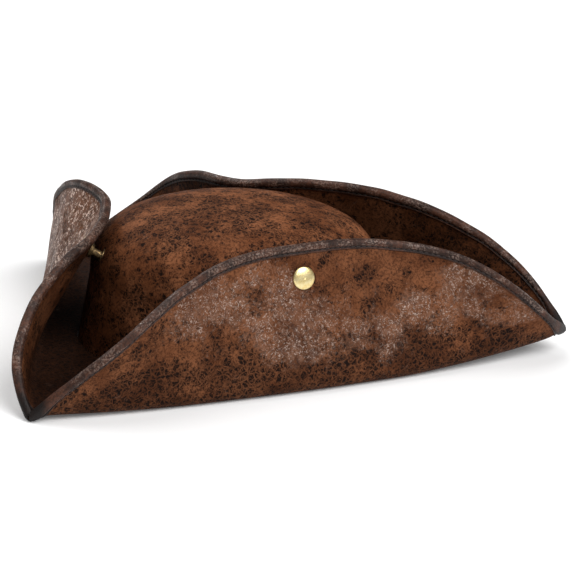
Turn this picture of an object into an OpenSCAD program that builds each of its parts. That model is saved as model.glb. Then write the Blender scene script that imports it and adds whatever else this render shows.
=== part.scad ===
// Tricorn pirate hat: a domed crown on a three-cornered brim, whose three turned-up flaps
// fasten to the crown with press studs and fold down about the creases in the brim.
// Origin: centre of the head opening, in the plane that the brim rests on.
// +X points to the front corner, +Y to the wearer's left and +Z up.

/* [Crown] */
// Half length of the crown at its base, outside
crown_half_length = 105; // [95:0.5:115]
// Half width of the crown at its base, outside
crown_half_width = 89; // [80:0.5:95]
// Height of the crown above the rest plane
crown_height = 99; // [85:1:115]
// Height of the nearly straight part of the crown wall
crown_wall_height = 49; // [30:1:60]
// Inward taper of the wall, in mm for each mm of height
crown_taper = 0.16; // [0.05:0.01:0.25]
// Fullness of the dome towards its sides
dome_side_fullness = 2.7; // [2:0.1:3.5]
// Fullness of the dome towards its top
dome_top_fullness = 2.6; // [2:0.1:3.5]
// Height of the sweatband
sweatband_height = 32; // [20:1:45]

/* [Brim] */
// Distance from the origin to the front corner
front_reach = 225; // [215:1:240]
// Distance back from the origin to the line of the two rear corners
rear_reach = 125; // [122:1:140]
// Distance from the centre line to each rear corner
rear_half_width = 155; // [150:1:170]
// Rise of the front corner above the flat of the brim
front_rise = 12; // [0:0.5:16]
// Rise of the two rear corners
rear_rise = 3; // [0:0.5:8]
// Outward bow of the side creases around the crown
side_bow = 15; // [12:0.5:18]
// Outward bow of the rear crease
rear_bow = 9; // [6:0.5:14]
// Radius of the rounded crease, at mid thickness
crease_radius = 8; // [6:0.5:10]

/* [Flaps] */
// Height of the side flaps at their middle
side_flap_height = 92.5; // [80:0.5:95]
// Fullness of the side flaps' outline; 2 is a plain parabola
side_fullness = 2.6; // [2:0.1:3]
// Height of the rear flap at its middle
rear_flap_height = 104; // [85:0.5:106]
// Fullness of the rear flap's outline
rear_fullness = 2; // [1.8:0.1:2.6]

/* [Cloth] */
// Thickness of the leatherette covers
cover_thickness = 0.9; // [0.6:0.1:1.2]
// Thickness of the felt stiffener inside the brim
core_thickness = 1.9; // [1.2:0.1:2.2]
// Thickness of the crown's stiffener
stiffener_thickness = 1.6; // [1:0.1:2]
// Width of the edge binding on each face
binding_width = 5.6; // [4:0.2:10]
// Thickness of the binding strip
binding_thickness = 0.8; // [0.5:0.1:1]
// Distance of the stitching from the bound edge
stitch_inset = 4.2; // [3:0.2:5]

/* [Press studs] */
// Diameter of the domed brass caps
cap_diameter = 15; // [10:0.2:16]
// Height of the domed brass caps
cap_height = 2.2; // [1.5:0.1:3]
// Place of the side studs along their flaps, from the rear corner
stud_along = 0.49; // [0.46:0.01:0.54]
// Place of the side studs up their flaps, as a share of the height
stud_up = 0.79; // [0.7:0.01:0.82]
// Place of the rear stud along its flap, from the left corner
rear_stud_along = 0.59; // [0.5:0.01:0.6]
// Place of the rear stud up its flap
rear_stud_up = 0.78; // [0.7:0.01:0.84]
// Radial clearance between stud head and socket
snap_clearance = 0.15; // [0.1:0.05:0.3]

/* [Hidden] */

// Colours
leather = "#6b4029";
lining_black = "#1d1a19";
felt_grey = "#4a4644";
binding_brown = "#3f241c";
thread_brown = "#2a1a15";
brass = "#c9ab6c";

// Lean of each flap from the horizontal, at equal steps along its crease:
// under 90 the flap flares outward, over 90 it leans in over the crown.
right_lean = [64, 73, 90, 103, 107, 111, 104, 77, 54];  // rear corner to front corner
left_lean = [57, 85, 96, 101, 107, 113, 96, 65, 53];    // front corner to rear corner
rear_lean = [92, 95, 106, 119, 117, 96, 63];            // left corner to right corner

// Layers
glue = 0.05;                                            // film between two layers
brim_half = core_thickness / 2 + glue + cover_thickness; // half thickness of the brim
seam_gap = 0.3;                                         // between the brim floor and a flap
opening_gap = 0.7;                                      // between the crown and the brim round it
binding_gap = 0.12;                                     // between the binding and the covers
lining_slack = 1.2;                                     // room behind the lining
lining_thickness = 0.4;
sweatband_thickness = 1;
sweatband_low = 1;                                      // its lower edge above the rest plane
sweatband_seam = 4;                                     // height of its stitching
thread_gap = 0.02;                                      // between the sweatband and its stitching
thread_width = 0.9;
thread_thickness = 0.35;

// Corners, counter-clockwise seen from above
front_corner = [front_reach, 0];
left_corner = [-rear_reach, rear_half_width];
right_corner = [-rear_reach, -rear_half_width];
rise_start = 112;                                       // the brim is flat inside this radius

// Steps of the curved sheets
along_steps = 26;
bend_rows = 3;
around_steps = 44;
dome_steps = 7;
end_trim = 9;                                           // the flap solids stop short of the corners
corner_trim = 2.5;                                      // as the brim floor does

// Press studs
head_radius = 3.2;
socket_radius = 5.4;
socket_depth = 1.9;
plate = 0.5;
shank_radius = 1.6;
cap_edge = 0.4;                                         // height of the cap's plain edge
flange_radius = 5;                                      // the stud's foot on the crown
flange_thickness = 0.7;
flange_lift = 0.2;                                      // lets it sit on the curved crown
neck_radius = 2.7;
washer_radius = 3.6;
washer_gap = 0.8;                                       // the crown curves away behind the washer
surface_gap = 0.45;                                     // lets a flat disc sit on the curved cloth

// ---- flaps ----
// A flap is [start corner, end corner, height, fullness, bow, leans, stud along, stud up].
RIGHT = [right_corner, front_corner, side_flap_height, side_fullness, side_bow,
         right_lean, stud_along, stud_up];
LEFT = [front_corner, left_corner, side_flap_height, side_fullness, side_bow,
        left_lean, 1 - stud_along, stud_up];
REAR = [left_corner, right_corner, rear_flap_height, rear_fullness, rear_bow,
        rear_lean, rear_stud_along, rear_stud_up];

function chord(f) = f[1] - f[0];
function along(f) = chord(f) / norm(chord(f));
function outward(f) = [along(f)[1], -along(f)[0]];
function flap_height(f, s) = f[2] * (1 - pow(abs(2 * s - 1), f[3]));
function bow_at(f, s) = f[4] * 4 * s * (1 - s);

// Smooth curve through equally spaced values
function through(v, s) =
    let (n = len(v) - 1, i = min(floor(s * n), n - 1), t = s * n - i,
         a = v[i], b = v[i + 1], before = v[max(i - 1, 0)], after = v[min(i + 2, n)],
         ma = (b - before) / 2, mb = (after - a) / 2)
    (2*t*t*t - 3*t*t + 1) * a + (t*t*t - 2*t*t + t) * ma
        + (3*t*t - 2*t*t*t) * b + (t*t*t - t*t) * mb;

// Rise of the brim at its three corners
function corner_rise(p, corner, rise) =
    let (d = norm(corner))
    rise * pow(max(0, (p * corner / d - rise_start) / (d - rise_start)), 1.5);
function brim_rise(p) = corner_rise(p, front_corner, front_rise)
    + corner_rise(p, left_corner, rear_rise) + corner_rise(p, right_corner, rear_rise);

function crease_point(f, s, out) = f[0] + chord(f) * s + outward(f) * (bow_at(f, s) + out);
function bend_radius(f, s) =
    min(crease_radius, 0.8 * flap_height(f, s) / (through(f[5], s) * PI / 180));
function bend_length(f, s) = bend_radius(f, s) * through(f[5], s) * PI / 180;
function sheet_length(f, s) = flap_height(f, s) + bend_length(f, s) / 2;

// Point of a flap: s along the crease, d up the sheet from the start of the bend,
// off from mid thickness towards the outer face.
function flap_point(f, s, d, off) =
    let (r = bend_radius(f, s), lean = through(f[5], s),
         turn = min(d / r * 180 / PI, lean), straight = max(d - bend_length(f, s), 0),
         x = r * sin(turn) - bend_length(f, s) / 2 + straight * cos(lean) + off * sin(turn),
         z = r * (1 - cos(turn)) + straight * sin(lean) - off * cos(turn),
         p = crease_point(f, s, x))
    [p[0], p[1], brim_half + brim_rise(crease_point(f, s, 0)) + z];

function trim(f) = end_trim / norm(chord(f));
function station(f, i) = trim(f) + (1 - 2 * trim(f)) * (0.5 - 0.5 * cos(180 * i / along_steps));

// ---- closed sheets ----
function grid_faces(m, n) = let (k = m * n) concat(
    [for (i = [0:m-2], j = [0:n-2]) let (a = i*n + j, b = a + n)
        each [[a, a + 1, b], [b, a + 1, b + 1], [k + a, k + b, k + a + 1],
              [k + b, k + b + 1, k + a + 1]]],
    [for (i = [0:m-2]) let (a = i*n, b = a + n, c = a + n - 1, d = b + n - 1)
        each [[a, b, k + a], [b, k + b, k + a], [c, k + c, d], [d, k + c, k + d]]],
    [for (j = [0:n-2]) let (a = j, c = (m - 1)*n + j)
        each [[a, k + a, a + 1], [a + 1, k + a, k + a + 1],
              [c, c + 1, k + c], [c + 1, k + c + 1, k + c]]]);

// The same, joined end to end into a ring
function ring_faces(m, n) = let (k = m * n) concat(
    [for (i = [0:m-1], j = [0:n-2]) let (a = i*n + j, b = ((i + 1) % m)*n + j)
        each [[a, a + 1, b], [b, a + 1, b + 1], [k + a, k + b, k + a + 1],
              [k + b, k + b + 1, k + a + 1]]],
    [for (i = [0:m-1]) let (a = i*n, b = ((i + 1) % m)*n, c = a + n - 1, d = b + n - 1)
        each [[a, b, k + a], [b, k + b, k + a], [c, k + c, d], [d, k + c, k + d]]]);

// A strip of constant section: m rings of n points. Each quad is split along the same diagonal
// as the sheets beside it, which the sides in turned need the other way round.
function strip_faces(m, n, turned = []) = concat(
    [for (i = [0:m-2], j = [0:n-1]) let (a = i*n + j, c = i*n + (j + 1) % n)
        each search(j, turned) == []
            ? [[a, a + n, c], [a + n, c + n, c]] : [[a, a + n, c + n], [a, c + n, c]]],
    [[for (j = [0:n-1]) j]], [[for (j = [n-1:-1:0]) (m - 1)*n + j]]);

// One layer of a flap, between two distances from mid thickness
module flap_layer(f, low, high) {
    points = [for (off = [high, low], i = [0:along_steps])
        let (s = station(f, i)) each [for (d = flap_rows(f, s)) flap_point(f, s, d, off)]];
    polyhedron(points, grid_faces(along_steps + 1, len(flap_rows(f, 0.5))), convexity = 6);
}
// Distances up the sheet: through the bend, half way to the binding, the binding's fold, the edge
function flap_rows(f, s) = let (bend = bend_length(f, s), fold = binding_fold(f, s))
    concat([for (j = [0:bend_rows]) seam_gap + (bend - seam_gap) * j / bend_rows],
           [(bend + fold) / 2, fold, sheet_length(f, s) - glue]);

// Folded strip round the free edge, a U in section
module flap_binding(f) {
    inner = brim_half + binding_gap;
    outer = inner + binding_thickness;
    polyhedron([for (i = [0:along_steps])
        let (s = station(f, i), edge = sheet_length(f, s), fold = binding_fold(f, s))
        each [for (p = [[fold, outer], [edge, outer], [edge + 0.7 * binding_thickness, inner],
                        [edge + 0.7 * binding_thickness, -inner], [edge, -outer],
                        [fold, -outer], [fold, -inner], [edge, -inner], [edge, inner],
                        [fold, inner]]) flap_point(f, s, p[0], p[1])]],
        strip_faces(along_steps + 1, 10, [4, 8]), convexity = 10);
}
// The binding narrows where the flap runs out at its corners, and stays clear of the bend
function binding_fold(f, s) = let (bend = bend_length(f, s), edge = sheet_length(f, s))
    max(edge - binding_width, bend + 0.2 * (edge - bend));
function stitch_line(f, s) =
    sheet_length(f, s) - (sheet_length(f, s) - binding_fold(f, s)) * stitch_inset / binding_width;

// Two threads, one on each face of the binding
module flap_thread(f) {
    base = brim_half + binding_gap + binding_thickness;
    for (side = [1, -1])
        polyhedron([for (i = [1:along_steps - 1])
            let (s = station(f, i), d = stitch_line(f, s))
            each [for (p = [[-0.5, 0], [-0.5, 1], [0.5, 1], [0.5, 0]])
                flap_point(f, s, d + side * p[0] * thread_width,
                           side * (base + p[1] * thread_thickness))]],
            strip_faces(along_steps - 1, 4), convexity = 6);
}

// ---- crown ----
function crown_inset(z) = crown_taper * min(z, crown_wall_height);
function dome_share(z) = let (w = max(z - crown_wall_height, 0) / (crown_height - crown_wall_height))
    pow(max(1 - pow(min(w, 1), dome_top_fullness), 0), 1 / dome_side_fullness);

// Ring of the crown's surface moved in by depth: level 0 to 1 runs up the wall, 1 to 2 over the dome
function crown_ring(level, depth, base) =
    let (wall = min(level, 1), u = 90 * max(level - 1, 0),
         rise = crown_height - depth - crown_wall_height,
         z = base + (crown_wall_height - base) * wall + rise * pow(sin(u), 2 / dome_top_fullness),
         inset = crown_taper * min(z, crown_wall_height) + depth,
         share = pow(cos(u), 2 / dome_side_fullness))
    [for (i = [0:around_steps - 1]) let (t = 360 * i / around_steps)
        [(crown_half_length - inset) * share * cos(t),
         (crown_half_width - inset) * share * sin(t), z]];

// Closed domed shell between two depths below the crown's surface
module crown_shell(outer, inner) {
    n = around_steps;
    levels = concat([0, 0.5, 1], [for (i = [1:dome_steps]) 1 + sin(90 * i / (dome_steps + 0.45))]);
    m = len(levels);
    points = concat(
        [for (depth = [outer, inner]) each [for (l = levels) each crown_ring(l, depth, 0)]],
        [[0, 0, crown_height - outer], [0, 0, crown_height - inner]]);
    k = m * n;
    faces = concat(
        [for (i = [0:m-2], j = [0:n-1]) let (a = i*n + j, c = i*n + (j + 1) % n)
            each [[a, a + n, c], [a + n, c + n, c],
                  [k + a, k + c, k + a + n], [k + a + n, k + c, k + c + n]]],
        [for (j = [0:n-1]) let (c = (j + 1) % n, top = (m - 1)*n)
            each [[top + j, 2*k, top + c], [k + top + j, k + top + c, 2*k + 1],
                  [j, c, k + j], [c, k + c, k + j]]]);
    polyhedron(points, faces, convexity = 6);
}

// Closed band inside the crown wall
module crown_band(outer, inner, low, high) {
    n = around_steps;
    polyhedron([for (i = [0:n-1]) let (t = 360 * i / n)
        each [for (p = [[outer, low], [outer, high], [inner, high], [inner, low]])
            let (inset = p[0] + crown_inset(p[1]))
            [(crown_half_length - inset) * cos(t), (crown_half_width - inset) * sin(t), p[1]]]],
        [for (i = [0:n-1], j = [0:3]) let (a = i*4 + j, b = i*4 + (j + 1) % 4,
                                           c = ((i + 1) % n)*4 + j, d = ((i + 1) % n)*4 + (j + 1) % 4)
            each [[a, b, c], [b, d, c]]], convexity = 6);
}

// ---- brim floor ----
// Outline of the floor: from corner to corner along the three creases
function floor_outline() = [for (f = [RIGHT, LEFT, REAR]) each concat(
    [f[0] * (1 - corner_trim / norm(f[0]))],
    [for (i = [0:along_steps]) let (s = station(f, i)) crease_point(f, s, -bend_length(f, s) / 2)])];

function opening_point(p) =
    let (a = crown_half_length + opening_gap, b = crown_half_width + opening_gap)
    p / sqrt(pow(p[0] / a, 2) + pow(p[1] / b, 2));

module floor_layer(low, high) {
    outline = floor_outline();
    across = [0, 0.2, 0.6, 1];
    points = [for (z = [low, high], p = outline, t = across)
        let (q = opening_point(p) * (1 - t) + p * t) [q[0], q[1], z + brim_rise(q)]];
    polyhedron(points, ring_faces(len(outline), len(across)), convexity = 6);
}

// ---- press studs ----
// Each flap swings about the middle of its crease, in the rest plane, and its stud's axis
// follows that arc, so that the socket pulls straight off the stud.
function hinge_point(f) = let (p = crease_point(f, 0.5, 0)) [p[0], p[1], 0];
function stud_seat(f) = flap_point(f, f[6], f[7] * sheet_length(f, f[6]), 0);
function swing_radius(f) = let (d = stud_seat(f) - hinge_point(f), e = [along(f)[0], along(f)[1], 0])
    d - e * (d * e);
function stud_axis(f) = let (r = swing_radius(f), e = [along(f)[0], along(f)[1], 0])
    cross(e, r) / norm(r);
function inside_crown(p) = p[2] < crown_height
    && norm([p[0] / (crown_half_length - crown_inset(p[2])),
             p[1] / (crown_half_width - crown_inset(p[2]))]) < dome_share(p[2]);
// Distance from the flap's mid thickness to the crown along the stud's axis
function crown_distance(f, low = 0, high = 30, n = 24) = let (mid = (low + high) / 2)
    n == 0 ? mid : inside_crown(stud_seat(f) - stud_axis(f) * mid)
        ? crown_distance(f, low, mid, n - 1) : crown_distance(f, mid, high, n - 1);

// Places children with +Z along the stud's axis, outward, at mid thickness of the flap
module at_stud(f) {
    axis = stud_axis(f);
    translate(stud_seat(f))
        rotate([0, acos(axis[2]), atan2(axis[1], axis[0])])
            children();
}
function disc_face() = brim_half + surface_gap;         // where a flat disc sits on the flap

module snap_cap(f) {
    rim = cap_diameter / 2;
    at_stud(f) rotate_extrude($fn = 48)
        polygon([[0, -disc_face()], [shank_radius, -disc_face()], [shank_radius, disc_face()],
                 [rim - cap_edge, disc_face()], [rim, disc_face() + cap_edge],
                 for (a = [15:15:90])
                     [rim * cos(a), disc_face() + cap_edge + (cap_height - cap_edge) * sin(a)]]);
}

module snap_socket(f) {
    bore = head_radius + snap_clearance;
    thickness = plate + socket_depth;
    deep = disc_face() + thickness;
    at_stud(f) difference() {
        translate([0, 0, -deep]) cylinder(r = socket_radius, h = thickness, $fn = 48);
        translate([0, 0, -deep - 1]) cylinder(r = bore, h = socket_depth + 1, $fn = 48);
    }
}

// The stud stands on the crown; its post runs in through the crown's cover and stiffener
module stud(f) {
    foot = crown_distance(f);
    tip = disc_face() + plate + 0.4;
    post_end = foot + cover_thickness + stiffener_thickness + washer_gap + plate / 2;
    low = -foot - flange_lift;
    high = low + flange_thickness;
    at_stud(f) rotate_extrude($fn = 48)
        polygon([[0, -post_end], [shank_radius, -post_end], [shank_radius, low],
                 [flange_radius, low], [flange_radius, high], [neck_radius, high],
                 [neck_radius, -tip - 1.2], [head_radius, -tip - 0.9],
                 [head_radius, -tip - 0.5], [neck_radius, -tip], [0, -tip]]);
}
module stud_washer(f) {
    back = crown_distance(f) + cover_thickness + stiffener_thickness + washer_gap;
    at_stud(f) difference() {
        translate([0, 0, -back - plate]) cylinder(r = washer_radius, h = plate, $fn = 48);
        translate([0, 0, -back - 1]) cylinder(r = shank_radius, h = 2, $fn = 48);
    }
}

// ---- nodes ----
stiffener_depth = cover_thickness + glue;
lining_depth = stiffener_depth + stiffener_thickness + lining_slack;
band_depth = lining_depth + lining_thickness + glue;
seam_depth = band_depth + sweatband_thickness + thread_gap;
core_low = -core_thickness / 2;
cover_low = core_thickness / 2 + glue;

module crown_cover() color(leather) crown_shell(0, cover_thickness);
module crown_stiffener() color(felt_grey)
    crown_shell(stiffener_depth, stiffener_depth + stiffener_thickness);
module crown_lining() color(lining_black)
    crown_shell(lining_depth, lining_depth + lining_thickness);
module sweatband() color(lining_black)
    crown_band(band_depth, band_depth + sweatband_thickness,
               sweatband_low, sweatband_low + sweatband_height);
module sweatband_thread() color(thread_brown)
    crown_band(seam_depth, seam_depth + thread_thickness, sweatband_seam, sweatband_seam + thread_width);

module brim_under_cover() color(leather) floor_layer(0, cover_thickness);
module brim_core() color(felt_grey)
    floor_layer(cover_thickness + glue, cover_thickness + glue + core_thickness);
module brim_top_cover() color(leather)
    floor_layer(2 * brim_half - cover_thickness, 2 * brim_half);

module outer_cover(f) color(leather) flap_layer(f, cover_low, brim_half);
module core(f) color(felt_grey) flap_layer(f, core_low, -core_low);
module inner_cover(f) color(leather) flap_layer(f, -brim_half, -cover_low);
module binding(f) color(binding_brown) flap_binding(f);
module thread(f) color(thread_brown) flap_thread(f);

crown_cover();
crown_stiffener();
crown_lining();
sweatband();
sweatband_thread();
brim_top_cover();
brim_core();
brim_under_cover();
color(brass) stud(RIGHT);  // right_stud
color(brass) stud_washer(RIGHT);  // right_stud_washer
color(brass) stud(LEFT);  // left_stud
color(brass) stud_washer(LEFT);  // left_stud_washer
color(brass) stud(REAR);  // rear_stud
color(brass) stud_washer(REAR);  // rear_stud_washer
outer_cover(RIGHT);  // right_flap_outer_cover
core(RIGHT);  // right_flap_core
inner_cover(RIGHT);  // right_flap_inner_cover
binding(RIGHT);  // right_flap_binding
thread(RIGHT);  // right_flap_thread
color(brass) snap_cap(RIGHT);  // right_snap_cap
color(brass) snap_socket(RIGHT);  // right_snap_socket
outer_cover(LEFT);  // left_flap_outer_cover
core(LEFT);  // left_flap_core
inner_cover(LEFT);  // left_flap_inner_cover
binding(LEFT);  // left_flap_binding
thread(LEFT);  // left_flap_thread
color(brass) snap_cap(LEFT);  // left_snap_cap
color(brass) snap_socket(LEFT);  // left_snap_socket
outer_cover(REAR);  // rear_flap_outer_cover
core(REAR);  // rear_flap_core
inner_cover(REAR);  // rear_flap_inner_cover
binding(REAR);  // rear_flap_binding
thread(REAR);  // rear_flap_thread
color(brass) snap_cap(REAR);  // rear_snap_cap
color(brass) snap_socket(REAR);  // rear_snap_socket
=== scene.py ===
"""Pirate hat: the looks of a tricorn hat in distressed brown leatherette, built round its CAD frame.

Sizes are in millimetres and become metres when a mesh is made. The flaps are worked out with the
same formulas as the part, so that every piece lies where the frame has it.
"""
import math

import bmesh
import bpy
import numpy as np
from mathutils import Matrix, Vector


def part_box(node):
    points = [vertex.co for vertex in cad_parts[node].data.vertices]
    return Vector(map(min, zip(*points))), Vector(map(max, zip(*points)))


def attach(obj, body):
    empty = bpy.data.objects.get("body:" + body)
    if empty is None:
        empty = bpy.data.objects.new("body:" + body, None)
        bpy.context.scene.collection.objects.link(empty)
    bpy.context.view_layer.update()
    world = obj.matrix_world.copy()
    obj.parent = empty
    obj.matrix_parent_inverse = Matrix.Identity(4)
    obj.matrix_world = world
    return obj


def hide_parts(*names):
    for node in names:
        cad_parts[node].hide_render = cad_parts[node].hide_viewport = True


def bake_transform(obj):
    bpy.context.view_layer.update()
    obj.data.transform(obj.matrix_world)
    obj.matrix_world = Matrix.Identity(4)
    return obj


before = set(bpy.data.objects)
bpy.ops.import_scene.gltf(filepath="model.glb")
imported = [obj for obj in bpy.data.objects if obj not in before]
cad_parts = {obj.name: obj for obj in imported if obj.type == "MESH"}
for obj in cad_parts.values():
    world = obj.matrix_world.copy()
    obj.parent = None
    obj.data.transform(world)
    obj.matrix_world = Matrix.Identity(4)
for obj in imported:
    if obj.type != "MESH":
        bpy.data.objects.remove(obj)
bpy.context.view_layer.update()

MM = 0.001

# Crown, from the frame
_, crown_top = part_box("crown_cover")
CROWN_LENGTH, CROWN_WIDTH, CROWN_HEIGHT = (v / MM for v in crown_top)   # half, half and whole
CROWN_WALL = 49                         # height at which the dome starts
CROWN_TAPER = 0.16                      # how far the wall leans in, for each mm up
DOME_SIDE, DOME_TOP = 2.7, 2.6          # powers of the dome's rounded outline
CROWN_RADIUS = 95                       # about the crown's mean radius, for patterns round it

# Layers
COVER = 0.9
CORE = 1.9
GLUE = 0.05
HALF = CORE / 2 + GLUE + COVER          # half thickness of the brim
STIFFENER = 1.6
BINDING_WIDTH = 5.6
BINDING_GAP = 0.12
STITCH_INSET = 4.2
STITCH_PITCH, STITCH_LENGTH = 4.0, 2.9
STITCH_RADIUS = 0.42
LINING_DEPTH = 3.75                     # the lining's outer face below the crown's surface
LINING = 0.4
BAND_DEPTH = 4.2
BAND = 1.0
BAND_LOW, BAND_HIGH = 1.0, 33.0
BAND_SEAM = 4.4                         # height of the sweatband's row of stitches

# Brim
FRONT_CORNER = np.array([224.0, 0.0])
LEFT_CORNER = np.array([-125.0, 155.0])
RIGHT_CORNER = np.array([-125.0, -155.0])
FRONT_RISE, REAR_RISE = 12.0, 3.0
RISE_START = 112.0
CREASE_RADIUS = 8.0
TIP_RADIUS = 1.2                        # the crease tightens to this at the corners
TIP_DROOP, TIP_LIFT = 1.5, 2.0          # the bound rear tips hang, and the front one lifts
TIP_REACH = 9.0                         # how far from a corner that is felt
SLOW_DENT, QUICK_DENT = 0.7, 0.45       # depth of a flap's wide and narrow dents

# Press studs
CAP_RADIUS, CAP_HEIGHT = 7.5, 2.2
DISC_FACE = HALF + 0.45                 # where a flat disc sits on the curved sheet
HEAD_RADIUS, SOCKET_RADIUS, SOCKET_DEPTH = 3.2, 5.4, 1.9
PLATE, SHANK, SNAP_CLEARANCE = 0.5, 1.6, 0.15
WASHER_RADIUS, WASHER_GAP = 3.6, 0.8
FLANGE_RADIUS = 5.0                     # the stud's foot, on the crown
OPENING_GAP = 0.1                       # the crown is sewn into the brim
STIFFENER_BACK = COVER + STIFFENER      # how deep the crown's shell is where a stud goes through

# Edges sharper than this many degrees stay crisp
SHEET_CREASE, TURNED_CREASE = 50, 38


# ---- shapes as formulas ----
def smooth(x, low, high):
    """0 below low, 1 above high and smooth between them."""
    t = np.clip((x - low) / (high - low), 0, 1)
    return t * t * (3 - 2 * t)


def ripple(a, b, wave, seed=0.0):
    """An even, slow unevenness from -1 to 1 over two lengths in mm."""
    u, v = np.asarray(a) * 2 * math.pi / wave, np.asarray(b) * 2 * math.pi / wave
    return (np.sin(u + 0.7 * v + seed) + np.sin(0.6 * u - 1.1 * v + 2.3 * seed + 1)
            + np.sin(1.7 * u + 0.4 * v + 5.1 * seed + 2)) / 3


def through(values, s):
    """A smooth curve through equally spaced values, at s from 0 to 1."""
    v = np.asarray(values, float)
    n = len(v) - 1
    s = np.clip(s, 0, 1)
    i = np.minimum((s * n).astype(int), n - 1)
    t = s * n - i
    a, b = v[i], v[i + 1]
    ma, mb = (b - v[np.maximum(i - 1, 0)]) / 2, (v[np.minimum(i + 2, n)] - a) / 2
    return ((2*t**3 - 3*t**2 + 1) * a + (t**3 - 2*t**2 + t) * ma
            + (3*t**2 - 2*t**3) * b + (t**3 - t**2) * mb)


def brim_rise(x, y):
    """Rise of the brim towards its corners, with the front tip's lift and the rear tips' droop."""
    rise = 0
    for corner, height in ((FRONT_CORNER, FRONT_RISE), (LEFT_CORNER, REAR_RISE),
                           (RIGHT_CORNER, REAR_RISE)):
        reach = np.hypot(*corner)
        out = (x * corner[0] + y * corner[1]) / reach
        rise = rise + height * np.clip((out - RISE_START) / (reach - RISE_START), 0, None) ** 1.5
        near = np.exp(-((x - corner[0]) ** 2 + (y - corner[1]) ** 2) / TIP_REACH ** 2)
        rise = rise + (TIP_LIFT if height == FRONT_RISE else -TIP_DROOP) * near
    return rise


class Flap:
    """A turned-up flap. s runs 0 to 1 along its crease, d up the sheet in mm from the start of
    the bend, and off is the distance in mm from mid thickness towards the outer face.

    leans are the sheet's angles to the floor in degrees, at even steps along the crease, bow is
    how far the crease swells outward, and stud_along and stud_up place the press stud as shares
    of s and d. Each patch of scuffing and painted sheen is (along, up, half length, half height),
    in the same shares."""

    def __init__(self, name, start, end, height, fullness, bow, leans, stud_along, stud_up,
                 seed, scuffs_and_sheen):
        self.name, self.body = name, name + "_flap"
        self.start, self.chord = start, end - start
        self.length = float(np.hypot(*self.chord))
        self.along = self.chord / self.length
        self.outward = np.array([self.along[1], -self.along[0]])
        self.height, self.fullness, self.bow = height, fullness, bow
        self.leans, self.stud_along, self.stud_up = leans, stud_along, stud_up
        self.seed, self.scuffs_and_sheen = seed, scuffs_and_sheen

    def rise(self, s):
        """How tall the flap is, from its crease to its free edge along the sheet."""
        return self.height * (1 - np.abs(2 * np.clip(s, 0, 1) - 1) ** self.fullness)

    def bend(self, s):
        """(lean in radians, bend radius, developed length of the bend)"""
        lean = np.radians(through(self.leans, s))
        radius = np.clip(0.8 * self.rise(s) / lean, TIP_RADIUS, CREASE_RADIUS)
        return lean, radius, radius * lean

    def sheet(self, s):
        """Developed length of the sheet, from the start of the bend to the free edge."""
        return self.rise(s) + self.bend(s)[2] / 2

    def crease(self, s, out):
        """x and y at a distance outward from the bowed crease."""
        bow = self.bow * 4 * s * (1 - s)
        return [self.start[i] + self.chord[i] * s + self.outward[i] * (bow + out) for i in (0, 1)]

    def at(self, s, d, off):
        """Points of the flap, in mm. Below d 0 they lie on the floor of the brim."""
        s, d, off = np.broadcast_arrays(*(np.asarray(v, float) for v in (s, d, off)))
        lean, radius, bend = self.bend(s)
        turn = np.clip(d / radius, 0, lean)
        straight = np.maximum(d - bend, 0)
        place = s * self.length
        # slow dents in the leather, fading out towards the bend and the tips
        dents = SLOW_DENT * ripple(place, d, 95, self.seed)
        dents = dents + QUICK_DENT * ripple(place, d, 46, self.seed + 3)
        off = off + dents * smooth(d, 12, 50) * smooth(self.sheet(s), 20, 60)
        out = (radius * np.sin(turn) - bend / 2 + straight * np.cos(lean) + off * np.sin(turn)
               + np.minimum(d, 0))
        up = radius * (1 - np.cos(turn)) + straight * np.sin(lean) - off * np.cos(turn)
        x, y = self.crease(s, out)
        base = self.crease(s, np.minimum(d, 0))
        return np.stack([x, y, HALF + brim_rise(*base) + up], -1)

    def stations(self, n, beyond=0.0):
        """Places along the crease, closer together towards the corners."""
        t = 0.5 - 0.5 * np.cos(np.linspace(0, math.pi, n))
        t = 0.6 * t + 0.4 * np.linspace(0, 1, n)
        return -beyond / self.length + t * (1 + 2 * beyond / self.length)

    def seat(self):
        """(middle of the press stud at mid thickness, its axis outward), in mm."""
        s = self.stud_along
        seat = self.at(s, self.stud_up * self.sheet(s), 0)
        edge = np.array([*self.along, 0])
        swing = seat - np.array([*self.crease(0.5, 0), 0])
        swing = swing - edge * (swing @ edge)
        axis = np.cross(edge, swing)
        return seat, axis / np.linalg.norm(axis)


# Each flap's patches mark where its leather is scuffed and gets painted sheen and highlights
RIGHT = Flap("right", RIGHT_CORNER, FRONT_CORNER, height=92.5, fullness=2.6, bow=15,
             leans=[64, 73, 90, 103, 107, 111, 104, 77, 54],
             stud_along=0.49, stud_up=0.79, seed=1.0,
             scuffs_and_sheen=[(0.29, 0.80, 0.10, 0.34), (0.40, 0.72, 0.12, 0.34),
                     (0.47, 0.47, 0.15, 0.34), (0.63, 0.36, 0.09, 0.24),
                     (0.72, 0.50, 0.10, 0.26), (0.82, 0.72, 0.12, 0.34)])
LEFT = Flap("left", FRONT_CORNER, LEFT_CORNER, height=92.5, fullness=2.6, bow=15,
            leans=[57, 85, 96, 101, 107, 113, 96, 65, 53],
            stud_along=0.51, stud_up=0.79, seed=2.0,
            scuffs_and_sheen=[(0.3, 0.6, 0.18, 0.3), (0.62, 0.5, 0.2, 0.3)])
REAR = Flap("rear", LEFT_CORNER, RIGHT_CORNER, height=104, fullness=2.0, bow=9,
            leans=[92, 95, 106, 119, 117, 96, 63],
            stud_along=0.59, stud_up=0.78, seed=3.0,
            scuffs_and_sheen=[(0.45, 0.65, 0.5, 0.9), (0.55, 0.65, 0.5, 0.9)])
FLAPS = (RIGHT, LEFT, REAR)


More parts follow.
